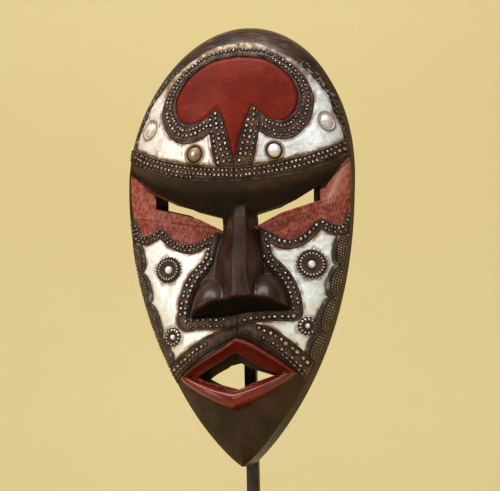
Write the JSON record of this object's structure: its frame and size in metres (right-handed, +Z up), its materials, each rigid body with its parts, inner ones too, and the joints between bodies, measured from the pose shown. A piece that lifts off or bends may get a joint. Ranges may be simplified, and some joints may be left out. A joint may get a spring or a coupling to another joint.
{
  "type": "tribal mask on a stand",
  "caption": "Carved dark wooden face mask with embossed metal sheets and strips, held upright on a steel rod with a square foot.",
  "frame": {"origin": "on the floor under the middle of the stand's square foot", "axes": "+Z up, the mask looks along -Y, +X is the viewer's right"},
  "size_m": [0.1722, 0.13, 0.421],
  "materials": {
    "carved_wood": "dark stained and waxed, with red painted fields",
    "bright_sheet": "thin hammered sheet, bright with brown stains",
    "beaded_strip": "darkened strip with bright worn beads",
    "stand_steel": "blackened steel with rust bloom"
  },
  "bodies": {
    "root": {"mask_body": "carved_wood", "forehead_sheet_left": "bright_sheet", "forehead_sheet_right": "bright_sheet", "cheek_sheet_left": "bright_sheet", "cheek_sheet_right": "bright_sheet", "heart_band_left": "beaded_strip", "heart_band_right": "beaded_strip", "spike_band_left": "beaded_strip", "spike_band_right": "beaded_strip", "brow_band_left": "beaded_strip", "brow_band_right": "beaded_strip", "eye_band_left": "beaded_strip", "eye_band_right": "beaded_strip", "nose_band_left": "beaded_strip", "nose_band_right": "beaded_strip", "lip_band_left": "beaded_strip", "lip_band_right": "beaded_strip", "edge_strip_left": "beaded_strip", "edge_strip_right": "beaded_strip", "rosette_stud_left": "bright_sheet", "rosette_stud_right": "bright_sheet", "low_rosette_stud_left": "bright_sheet", "low_rosette_stud_right": "bright_sheet", "stand_foot": "stand_steel", "stand_rod": "stand_steel", "stand_crossbar": "stand_steel"}
  },
  "joints": []
}
